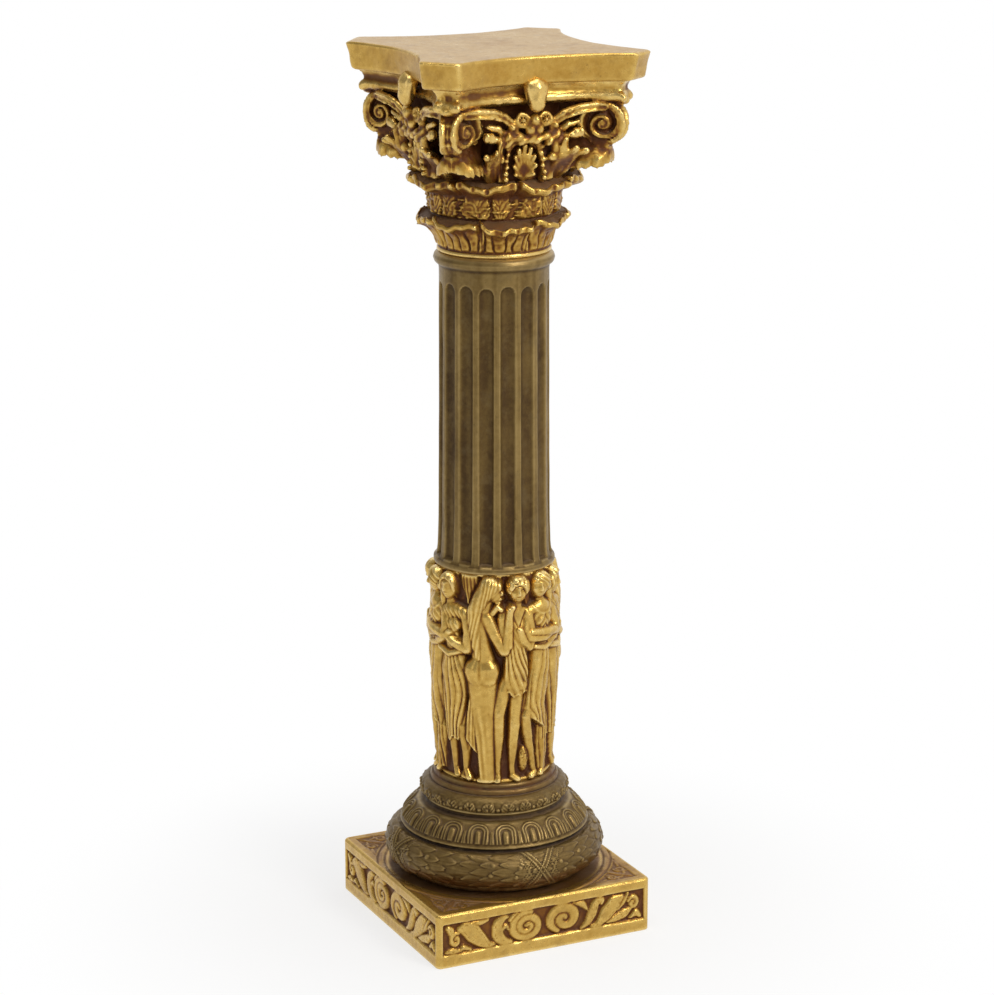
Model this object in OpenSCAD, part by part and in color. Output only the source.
// Ornamental Composite column pedestal, cast in five pieces that stack on one axis:
// square plinth, moulded base, drum of standing figures, fluted shaft and capital.
// Millimetres, +Z up, origin on the axis at the underside of the plinth.

/* [Stack] */
// Height of the square plinth
plinth_h = 60; // [45:1:90]
// Height of the moulded base
base_h = 108; // [100:1:140]
// Height of the drum that carries the figures
drum_h = 230; // [180:1:300]
// Height of the fluted shaft with both its rings
shaft_h = 332; // [200:1:600]
// Height of the capital with its abacus
capital_h = 210; // [185:1:260]

/* [Plinth] */
// Side of the square plinth
plinth_w = 250; // [244:1:320]
// Radius of the upright corners of the plinth
plinth_corner_r = 5; // [2:0.5:10]
// Depth of the sunk panel in each side
panel_recess = 3; // [1:0.5:6]
// Plain band above the panel
panel_top_band = 10; // [6:1:14]
// Plain band below the panel
panel_bottom_band = 14; // [8:1:18]
// Plain band at each end of the panel
panel_end_band = 10; // [6:1:20]
// Width of the raised ribbon in the scrolls
scroll_ribbon_w = 4.5; // [3:0.5:5]
// Height of the round seat that the base stands on, above the carved corners
seat_rise = 1.5; // [0.5:0.5:3]
// Depth of the carved corner panels on top
corner_recess = 1.5; // [0.5:0.5:3]
// Plain border round the top of the plinth
top_border = 11; // [8:1:16]

/* [Base] */
// Outer radius of the large lower torus
torus_r = 117; // [105:1:119]
// Thickness of the lower torus
torus_h = 42; // [34:1:50]
// Height of the leaves on the lower torus
garland_relief = 2.5; // [1:0.5:4]
// Leaves round the lower torus
garland_leaves = 24; // [16:4:32]
// Radius of the rim between torus and sloping band
band_rim_r = 102; // [98:1:108]
// Thickness of that rim
band_rim_h = 6; // [3:1:8]
// Radius at the top of the sloping band
band_top_r = 84; // [80:1:90]
// Tongues round the sloping band
tongue_count = 20; // [12:1:24]
// Width of a tongue
tongue_w = 17; // [10:1:20]
// Radius of the hollow above the sloping band
hollow_r = 74; // [68:1:76]
// Outer radius of the small upper torus
upper_torus_r = 79; // [77:1:90]
// Thickness of the small upper torus
upper_torus_h = 18; // [12:1:24]

/* [Drum] */
// Radius of the plain ground behind the figures
drum_r = 57; // [52:1:60]
// How far the fullest part of a figure stands out from the ground
figure_relief = 16; // [8:1:20]
// Sets of four figures round the drum
figure_sets = 3; // [2:1:4]
// Turn of the figures from the middle of a side
figure_turn = -8; // [-15:1:15]

/* [Shaft] */
// Radius of the shaft just above its foot ring
shaft_foot_r = 60; // [56:0.5:61]
// Radius of the shaft under its neck ring
shaft_top_r = 57; // [54:0.5:60]
// Radius of the flat ring at the foot
foot_ring_r = 64; // [62:1:68]
// Height of the flat ring at the foot
foot_ring_h = 6; // [4:1:10]
// Radius of the rounded ring at the neck
neck_ring_r = 63; // [61:1:68]
// Height of the rounded ring at the neck
neck_ring_h = 14; // [10:1:20]
// Plain length between the neck ring and the flutes
neck_plain = 16; // [8:1:30]
// Flutes round the shaft
flute_count = 16; // [12:1:20]
// Width of a flute
flute_w = 14.5; // [8:0.5:15.5]
// Depth of a flute
flute_depth = 4.5; // [2:0.5:6]

/* [Capital] */
// Radius of the foot of the capital
bell_foot_r = 57; // [52:1:60]
// Radius of the bell between the leaf rows
bell_r = 64; // [60:1:68]
// Reach of the lower row of leaves
lower_leaf_r = 80; // [74:1:88]
// Reach of the upper row of leaves
upper_leaf_r = 92; // [84:1:100]
// Height of the lower row of leaf tips above the foot
lower_leaf_z = 36; // [28:1:44]
// Height of the upper row of leaf tips above the foot
upper_leaf_z = 76; // [66:1:86]
// Leaves in each row
leaf_count = 8; // [8:4:12]
// Half of the widest side of the abacus
abacus_a = 126; // [118:1:140]
// Distance of each cut corner from the middle of its side
abacus_c = 98; // [88:1:110]
// How deep the sides of the abacus are hollowed
abacus_hollow = 25; // [12:1:30]
// Height of the upright face of the abacus
fascia_h = 25; // [18:1:32]
// Radius of a corner volute
volute_r = 22; // [14:1:26]
// Half width of the solid between the two volutes of a corner
volute_t = 12; // [8:1:14]
// Distance of the volute's middle from the middle of its side
volute_b = 82; // [76:1:90]

/* [Hidden] */
$fn = 96;

gilt = [0.80, 0.60, 0.22];
patina = [0.36, 0.32, 0.19];

// Levels of the joints in the stack
base_z = plinth_h;
drum_z = base_z + base_h;
shaft_z = drum_z + drum_h;
capital_z = shaft_z + shaft_h;

// ---------- shared helpers ----------

// Points along an arc in a profile, from angle a0 to a1 in n steps.
function arc(cx, cy, r, a0, a1, n) =
    [for (i = [0:n]) let (a = a0 + (a1 - a0) * i / n) [cx + r * cos(a), cy + r * sin(a)]];

function lerp(a, b, t) = a + (b - a) * t;
function clamp01(t) = min(1, max(0, t));
function smooth(t) = let (c = clamp01(t)) c * c * (3 - 2 * c);
function dot2(a, b) = a[0] * b[0] + a[1] * b[1];

// Closed skin over a grid of points: rows[i][j], each row a loop round the axis, capped at
// both ends by a fan round the middle of the row.
module loop_skin(rows) {
    n = len(rows);
    m = len(rows[0]);
    mid = function (row) [for (k = [0:2]) [for (p = row) p[k]] * [for (p = row) 1] / m];
    points = concat([for (row = rows) for (p = row) p], [mid(rows[0]), mid(rows[n - 1])]);
    sides = [for (i = [0:n - 2]) for (j = [0:m - 1])
        let (k = (j + 1) % m, a = i * m + j, b = i * m + k, c = a + m, d = b + m)
        each [[a, c, b], [b, c, d]]];
    caps = [for (j = [0:m - 1]) let (k = (j + 1) % m)
        each [[n * m, j, k], [n * m + 1, (n - 1) * m + k, (n - 1) * m + j]]];
    polyhedron(points = points, faces = concat(sides, caps));
}

// Ring with a closed cross-section: section(angle) gives [radius, height] points in order.
module section_ring(steps, section) {
    rings = [for (i = [0:steps - 1]) let (a = 360 * i / steps)
        [for (p = section(a)) [p[0] * cos(a), p[0] * sin(a), p[1]]]];
    m = len(rings[0]);
    faces = [for (i = [0:steps - 1]) for (j = [0:m - 1])
        let (ni = (i + 1) % steps, nj = (j + 1) % m,
             a = i * m + j, b = ni * m + j, c = i * m + nj, d = ni * m + nj)
        each [[a, c, b], [b, c, d]]];
    polyhedron(points = [for (r = rings) for (p = r) p], faces = faces);
}

// Flat ribbon that winds into a spiral: outer radius r, ribbon width w, turns round.
function spiral_ribbon(r, w, turns, steps) =
    let (pitch = (r - w) / turns)
    concat(
        [for (i = [0:steps]) let (a = 360 * turns * i / steps, q = r - pitch * i / steps * turns)
            [q * cos(a), q * sin(a)]],
        [for (i = [steps:-1:0]) let (a = 360 * turns * i / steps,
                q = max(0.5, r - w - pitch * i / steps * turns * (r - w - 0.5) / (r - w)))
            [q * cos(a), q * sin(a)]]);

// Crescent leaf: outer arc and a flatter inner arc that meet in two points.
function crescent(r, thick, a0, a1, steps) = concat(
    [for (i = [0:steps]) let (a = lerp(a0, a1, i / steps)) [r * cos(a), r * sin(a)]],
    [for (i = [steps - 1:-1:1]) let (t = i / steps, a = lerp(a0, a1, t))
        (r - thick * sin(180 * t)) * [cos(a), sin(a)]]);

// ---------- plinth ----------

panel_h = plinth_h - panel_top_band - panel_bottom_band;
panel_w = plinth_w - 2 * panel_end_band;
panel_mid = panel_bottom_band + panel_h / 2;
scroll_r = panel_h / 2 - 0.5;
seat_r = torus_r + 6;

module rounded_square(w, r) {
    k = w / 2 - r;
    square([w, w - 2 * r], center = true);
    square([w - 2 * r, w], center = true);
    for (x = [-k, k]) for (y = [-k, k]) translate([x, y]) circle(r);
}

// Half of one side's scrollwork, right of the middle, drawn in the plane of the panel.
module half_scrollwork() {
    sunk = panel_recess + 1;
    translate([scroll_r + 1, 0]) {
        rotate(90) mirror([0, 1]) linear_extrude(sunk)
            polygon(spiral_ribbon(scroll_r, scroll_ribbon_w, 1.6, 40));
        cylinder(r = scroll_ribbon_w * 0.75, h = sunk);
    }
    for (k = [0:1]) translate([scroll_r * (2.3 + 1.8 * k), 0])
        linear_extrude(sunk) polygon(crescent(scroll_r * 0.9, scroll_r * 0.8, -95, 70, 14));
}

module side_scrollwork() {
    half_scrollwork();
    mirror([1, 0, 0]) half_scrollwork();
}

module corner_panel() {
    k = plinth_w / 2 - top_border;
    translate([0, 0, plinth_h - seat_rise - corner_recess]) linear_extrude(corner_recess + 1)
        difference() {
            square([k, k]);
            circle(seat_r + 3);
        }
}

module plinth() {
    color(gilt) {
        difference() {
            linear_extrude(plinth_h - seat_rise) rounded_square(plinth_w, plinth_corner_r);
            for (a = [0:90:270]) rotate(a) {
                translate([-panel_w / 2, -plinth_w / 2 - 1, panel_bottom_band])
                    cube([panel_w, panel_recess + 1, panel_h]);
                corner_panel();
            }
        }
        translate([0, 0, plinth_h - seat_rise - 1]) cylinder(r = seat_r, h = seat_rise + 1);
        for (a = [0:90:270]) rotate(a)
            translate([0, -plinth_w / 2 + panel_recess + 1, panel_mid]) rotate([90, 0, 0])
                side_scrollwork();
    }
}

// ---------- moulded base ----------

seat_h = 4;
torus_half = torus_h / 2;
torus_mid_r = torus_r - torus_half;
torus_mid_z = seat_h + torus_half;
rim_z = seat_h + torus_h + 1;
rim_top_z = rim_z + band_rim_h;
upper_half = upper_torus_h / 2;
upper_mid_z = base_h - 12 - upper_half;
band_top_z = upper_mid_z - upper_half - 8;
ledge_r = drum_r + 6;

function base_profile() = concat(
    [[0, 0], [torus_mid_r + 2, 0]],
    arc(torus_mid_r, torus_mid_z, torus_half, -80, 80, 12),
    [[band_rim_r - 2, rim_z], [band_rim_r, rim_z + 1], [band_rim_r, rim_top_z],
     [band_top_r, band_top_z], [band_top_r - 4, band_top_z + 1]],
    arc(hollow_r + 4, band_top_z + 5, 4, -120, -240, 4),
    arc(upper_torus_r - upper_half, upper_mid_z, upper_half, -70, 80, 9),
    [[ledge_r + 5, base_h - 11], [ledge_r + 5, base_h - 7], [ledge_r + 2, base_h - 6],
     [ledge_r + 2, base_h - 2], [ledge_r, base_h - 1], [ledge_r, base_h], [0, base_h]]);

// How far the garland stands out at an angle round the column and a place on the torus.
function garland_height(a, q) =
    let (row = round((q + 90) / 36), cell = a * garland_leaves / 360 + (row % 2) / 2,
         x = cell - floor(cell))
    garland_relief * (0.35 + 0.65 * sin(180 * x));

module garland() {
    steps = 3 * garland_leaves;
    section_ring(steps, function (a)
        [for (i = [0:7]) let (q = lerp(-56, 80, i / 6), r = torus_half + garland_height(a, q))
            i < 7 ? [torus_mid_r + r * cos(q), torus_mid_z + r * sin(q)]
                  : [torus_mid_r - 4, torus_mid_z]]);
}

// Rounded tongue lying on the sloping band.
module tongue() {
    r = tongue_w * 0.53;
    run = [band_top_r - band_rim_r, band_top_z - rim_top_z];
    long = norm(run);
    along = run / long;
    out = [along[1], -along[0]];
    start = [band_rim_r, rim_top_z] + along * long * 0.22 - out * r * 0.55;
    translate([start[0], 0, start[1]]) rotate([0, atan2(along[0], along[1]), 0]) rotate_extrude()
        polygon(concat(arc(0, 0, r, -90, 0, 6), arc(0, long * 0.4, r, 0, 90, 6)));
}

module moulded_base() {
    color(patina) translate([0, 0, base_z]) {
        rotate_extrude() polygon(base_profile());
        garland();
        for (i = [0:tongue_count - 1]) rotate((i + 0.5) * 360 / tongue_count) tongue();
    }
}

// ---------- drum of figures ----------

// A figure is a list of limbs: [start, start radius, end, end radius, share of full relief].
// Places are in millimetres on a figure 228 tall, u to the right and v up from the ground.
figure_tall = 228;

crossed_arms = [
    [[-3, 213], 9.5, [-3, 207], 8.5, 1.0], [[-1, 199], 5, [0, 190], 6, 0.7],
    [[-13, 184], 7, [13, 184], 7, 0.75], [[0, 180], 12, [0, 150], 11, 0.8],
    [[15, 183], 6, [17, 158], 5, 0.95], [[17, 157], 4.5, [-3, 150], 4, 1.0],
    [[-15, 183], 6, [-17, 160], 5, 0.95], [[-17, 160], 4.5, [2, 154], 4, 1.0],
    [[0, 140], 12, [0, 118], 15, 0.8], [[0, 118], 15, [-2, 30], 12, 0.75],
    [[-6, 26], 5, [-6, 6], 4, 0.45], [[5, 26], 5, [7, 6], 4, 0.45]];
turned_away = [
    [[5, 213], 9, [5, 207], 8.5, 1.0], [[-1, 212], 8, [-7, 186], 7, 0.8],
    [[2, 199], 5, [0, 190], 6, 0.7], [[-9, 182], 8, [6, 182], 7, 0.8],
    [[-3, 180], 11, [-1, 148], 9, 0.85], [[-5, 126], 12, [3, 122], 12, 0.95],
    [[0, 118], 14, [2, 62], 10, 0.9], [[2, 62], 10, [5, 8], 9, 0.8],
    [[-9, 104], 7, [-13, 10], 6, 0.5], [[9, 180], 5, [15, 158], 4.5, 0.9],
    [[15, 158], 4, [21, 178], 3.5, 0.9]];
short_tunic = [
    [[0, 213], 9.5, [0, 207], 8.5, 1.0], [[0, 199], 5, [0, 190], 6, 0.7],
    [[-12, 184], 6, [12, 184], 6, 0.75], [[0, 180], 12, [0, 148], 10, 0.85],
    [[0, 134], 12, [1, 102], 14, 0.85], [[-7, 98], 7, [-8, 56], 6, 0.8],
    [[-8, 56], 6, [-10, 8], 4, 0.65], [[7, 98], 7.5, [7, 56], 6, 0.85],
    [[7, 56], 6, [5, 8], 4, 0.7], [[-13, 180], 5, [-15, 160], 4.5, 0.8],
    [[-15, 160], 4, [-8, 186], 3.5, 0.95], [[13, 182], 5.5, [16, 158], 5, 0.85],
    [[16, 158], 4.5, [14, 132], 4, 0.8]];
folded_arms = [
    [[-4, 213], 9, [-4, 207], 8.5, 1.0], [[5, 217], 7, [6, 213], 6, 0.7],
    [[-1, 199], 5, [0, 190], 6, 0.7], [[-11, 183], 6.5, [12, 184], 7, 0.8],
    [[0, 180], 12, [1, 150], 10, 0.8], [[13, 182], 6, [16, 157], 5, 0.95],
    [[16, 157], 4.5, [-9, 156], 4, 1.0], [[-12, 168], 4.5, [8, 150], 4, 0.95],
    [[2, 142], 11, [4, 100], 13, 0.8], [[4, 100], 12, [6, 44], 9, 0.75],
    [[-7, 98], 7, [-9, 52], 5.5, 0.75], [[-9, 52], 5.5, [-3, 8], 4, 0.65],
    [[6, 42], 5.5, [6, 8], 4, 0.6]];
poses = [crossed_arms, turned_away, short_tunic, folded_arms];

figure_count = figure_sets * len(poses);
figure_pitch = 360 / figure_count;
// The tunic figure faces the middle of one side of the plinth, but for its turn
first_figure = figure_turn - 90 - 2 * figure_pitch;
mid_relief_r = drum_r + figure_relief / 2;

// Heights on a figure that the drum is drawn at, closer together from the hips up.
figure_levels = [0, 3, 14, 30, 48, 66, 84, 100, 115, 128, 139, 149, 158, 167, 176, 185, 193, 200, 207, 214, 222, 228];

// Height of one rounded limb over a point of the unrolled drum, as a share of full relief.
function limb_height(limb, p) =
    let (d = limb[2] - limb[0], t = clamp01(dot2(p - limb[0], d) / max(dot2(d, d), 1e-6)),
         r = 1.25 * lerp(limb[1], limb[3], t), off = norm(p - limb[0] - t * d) / r)
    off >= 1 ? 0 : limb[4] * (1 - off * off);

function figure_height(pose, p) = max([for (limb = pose) limb_height(limb, p)]);

// Relief at an angle round the drum and a height: the fuller of the two nearest figures.
function drum_height(a, z) =
    let (k = floor((a - first_figure) / figure_pitch))
    figure_relief * max([for (i = [k, k + 1])
        let (u = (a - first_figure - i * figure_pitch) * PI / 180 * mid_relief_r,
             pose = poses[((i % len(poses)) + len(poses)) % len(poses)])
        figure_height(pose, [u, z * figure_tall / drum_h])]);

module figure_drum() {
    rows = len(figure_levels) - 1;
    columns = 7 * figure_count;
    color(gilt) translate([0, 0, drum_z])
        loop_skin([for (i = [0:rows]) let (z = drum_h * figure_levels[i] / figure_tall)
            [for (j = [0:columns - 1]) let (a = first_figure + 360 * j / columns,
                    r = drum_r + (i == 0 || i == rows ? 0 : drum_height(a, z)))
                [r * cos(a), r * sin(a), z]]]);
}

// ---------- fluted shaft ----------

flute_r = (pow(flute_w / 2, 2) + pow(flute_depth, 2)) / (2 * flute_depth);
flute_bottom_z = foot_ring_h + 8;
flute_top_z = shaft_h - neck_ring_h - neck_plain;

function shaft_radius(z) = lerp(shaft_foot_r, shaft_top_r, clamp01((z - foot_ring_h) / (flute_top_z - foot_ring_h)));

function shaft_profile() = concat(
    [[0, 0], [foot_ring_r - 1, 0], [foot_ring_r, 1], [foot_ring_r, foot_ring_h - 1],
     [foot_ring_r - 1, foot_ring_h]],
    [for (i = [0:4]) let (t = i / 4)
        [lerp(foot_ring_r - 2, shaft_radius(foot_ring_h + 14), sin(90 * t)), foot_ring_h + 14 * (1 - cos(90 * t))]],
    [[shaft_top_r, flute_top_z], [shaft_top_r, shaft_h - neck_ring_h - 3],
     [shaft_top_r + 2, shaft_h - neck_ring_h]],
    arc(neck_ring_r - neck_ring_h / 2, shaft_h - neck_ring_h / 2, neck_ring_h / 2, -80, 90, 8),
    [[0, shaft_h]]);

// Rounded groove that follows the taper of the shaft, with a round end at each end.
module flute_cutter() {
    low = flute_bottom_z + flute_r;
    high = flute_top_z - flute_r;
    at_low = shaft_radius(low) - flute_depth + flute_r;
    at_high = shaft_radius(high) - flute_depth + flute_r;
    lean = atan2(at_high - at_low, high - low);
    translate([at_low, 0, low]) rotate([0, lean, 0]) rotate_extrude()
        polygon(concat(arc(0, 0, flute_r, -90, 0, 6),
            arc(0, norm([high - low, at_high - at_low]), flute_r, 0, 90, 6)));
}

module fluted_shaft() {
    color(patina) translate([0, 0, shaft_z])
        difference() {
            rotate_extrude() polygon(shaft_profile());
            for (i = [0:flute_count - 1]) rotate((i + 0.5) * 360 / flute_count) flute_cutter();
        }
}

// ---------- capital ----------

// The capital is one skin: at each height and angle the ornament that stands out furthest.

fascia_z = capital_h - fascia_h;
abacus_under_z = fascia_z - 16;
abacus_arc_r = (pow(abacus_c, 2) + pow(abacus_hollow, 2)) / (2 * abacus_hollow);
abacus_arc_x = abacus_a - abacus_hollow + abacus_arc_r;
corner_d = (abacus_a + abacus_c) / sqrt(2);

// Height and value pairs read at a height, with straight lines between them.
function read_curve(curve, z, k = 0) =
    z <= curve[0][0] ? curve[0][1] :
    k >= len(curve) - 1 ? curve[len(curve) - 1][1] :
    z <= curve[k + 1][0]
        ? lerp(curve[k][1], curve[k + 1][1], (z - curve[k][0]) / (curve[k + 1][0] - curve[k][0]))
        : read_curve(curve, z, k + 1);

bell_curve = [
    [0, bell_foot_r + 1], [4, bell_foot_r + 1], [7, bell_foot_r], [16, bell_foot_r + 3],
    [lower_leaf_z - 12, bell_r - 1], [upper_leaf_z - 10, bell_r + 2], [upper_leaf_z + 12, bell_r + 8],
    [upper_leaf_z + 50, bell_r + 10], [abacus_under_z, bell_r + 16]];

// Row of leaf tips that curl outward and run together into a wavy collar.
function collar_reach(t, z, reach, leaf_z, rise) =
    let (full = pow(abs(cos(t * leaf_count / 2)), 0.6), drop = rise * full,
         edge = reach - 9 * (1 - full), v = z - leaf_z + drop)
    v <= -14 || v >= 15 ? 0 :
    v < 0 ? lerp(bell_r, edge, pow((v + 14) / 14, 1.6)) :
    v < 4 ? edge : lerp(edge, bell_r, (v - 4) / 11);

// Leaf under each corner: how far its spine reaches at a height above the upper row of leaves.
corner_leaf_curve = [
    [4, 0], [17, 8], [24, 20], [27, 54], [32, 60], [37, 56]];
corner_leaf_w = 15;

function corner_leaf_reach(t, z) =
    let (h = z - upper_leaf_z, q = bell_r + read_curve(corner_leaf_curve, h), d = abs(abs(t) - 45))
    h < 4 || h > 38 || q * tan(d) > corner_leaf_w ? 0 : q / cos(d);

volute_inset = 14;
volute_z = fascia_z - volute_r - 32;
volute_arc_r = abacus_arc_r + volute_inset;
volute_a = abacus_arc_x - sqrt(pow(volute_arc_r, 2) - pow(volute_b, 2));
volute_turn = asin(volute_b / volute_arc_r);
volute_face = dot2([volute_a, volute_b], [cos(volute_turn), -sin(volute_turn)]);

// Disc of a volute with a raised rim and eye, and the band that leaves its top for the side boss.
function volute_reach(t, z) =
    let (q = abs(t), r = volute_face / cos(q + volute_turn),
         along = [sin(volute_turn), cos(volute_turn)],
         s = dot2([r * cos(q), r * sin(q)] - [volute_a, volute_b], along),
         off = norm([s, z - volute_z]),
         band_z = volute_z + volute_r - 5 + 8 * smooth(-s / 50))
    off <= volute_r ? r + (off > volute_r - 5 || off < 5 ? 0 : -3) :
    s < 0 && s > -50 && abs(z - band_z) < 5 ? r - 2 : 0;

// Solid between the two volutes of a corner, which carries them and the abacus on the leaf.
function bracket_reach(t, z) =
    let (d = abs(abs(t) - 45), q = norm([volute_a, volute_b]) - 8)
    z < volute_z - volute_r + 2 || q * tan(d) > volute_t ? 0 : q / cos(d);

// Boss on the middle of each side of the abacus, rounded below.
boss_r = 15;
function boss_reach(t, z) =
    let (x = abacus_a - abacus_hollow + 3, y = x * tan(t), low = z - (fascia_z - 9))
    z > capital_h - 3 || abs(y) > boss_r || norm([y, min(0, low)]) > boss_r ? 0 : x / cos(t);

// Abacus: four hollow sides and four cut corners, each edge line set in by its own amount.
abacus_curve = [
    [abacus_under_z, 21], [abacus_under_z + 2, 16], [abacus_under_z + 9, 14],
    [fascia_z, 11], [fascia_z + 1, 0], [fascia_z + 4, 0], [capital_h, 5]];

function abacus_reach(t, z) =
    let (inset = read_curve(abacus_curve, z), r = abacus_arc_r + inset, side = abs(abacus_arc_x * sin(t)),
         cut = (corner_d - inset) / cos(45 - abs(t)))
    z < abacus_under_z ? 0 :
    side > r ? cut : min(cut, abacus_arc_x * cos(t) - sqrt(r * r - side * side));

function capital_radius(t, z) = max([
    read_curve(bell_curve, z),
    collar_reach(t, z, lower_leaf_r, lower_leaf_z, 4), collar_reach(t, z, upper_leaf_r, upper_leaf_z, 6),
    corner_leaf_reach(t, z), volute_reach(t, z), bracket_reach(t, z), boss_reach(t, z),
    abacus_reach(t, z)]);

function sorted(v) = len(v) < 2 ? v :
    let (m = v[floor(len(v) / 2)])
    concat(sorted([for (x = v) if (x < m) x]), [m], sorted([for (x = v) if (x > m) x]));

// Heights that the skin is drawn at, and angles from the middle of a side.
capital_levels = sorted(concat(
    [0, 5, 16], [for (d = [-15, -6, 0, 4, 12]) lower_leaf_z + d],
    [for (d = [-18, -7, 0, 4, 13, 23, 28]) upper_leaf_z + d],
    [for (q = [-75, -45, -15, 15, 45, 75]) volute_z + volute_r * sin(q)],
    [abacus_under_z - 6, abacus_under_z - 0.5, abacus_under_z + 2, abacus_under_z + 9, fascia_z,
     fascia_z + 1, fascia_z + 4, capital_h]));
capital_angles = concat([for (t = [-24:6:24]) t], [for (t = [27:3:63]) t]);

module capital() {
    color(gilt) translate([0, 0, capital_z])
        loop_skin([for (z = capital_levels)
            [for (k = [0:3]) for (t = capital_angles)
                let (turned = t > 45 ? t - 90 : t, r = capital_radius(turned, z), a = 90 * k + t)
                    [r * cos(a), r * sin(a), z]]]);
}

plinth();
moulded_base();
figure_drum();
fluted_shaft();
capital();
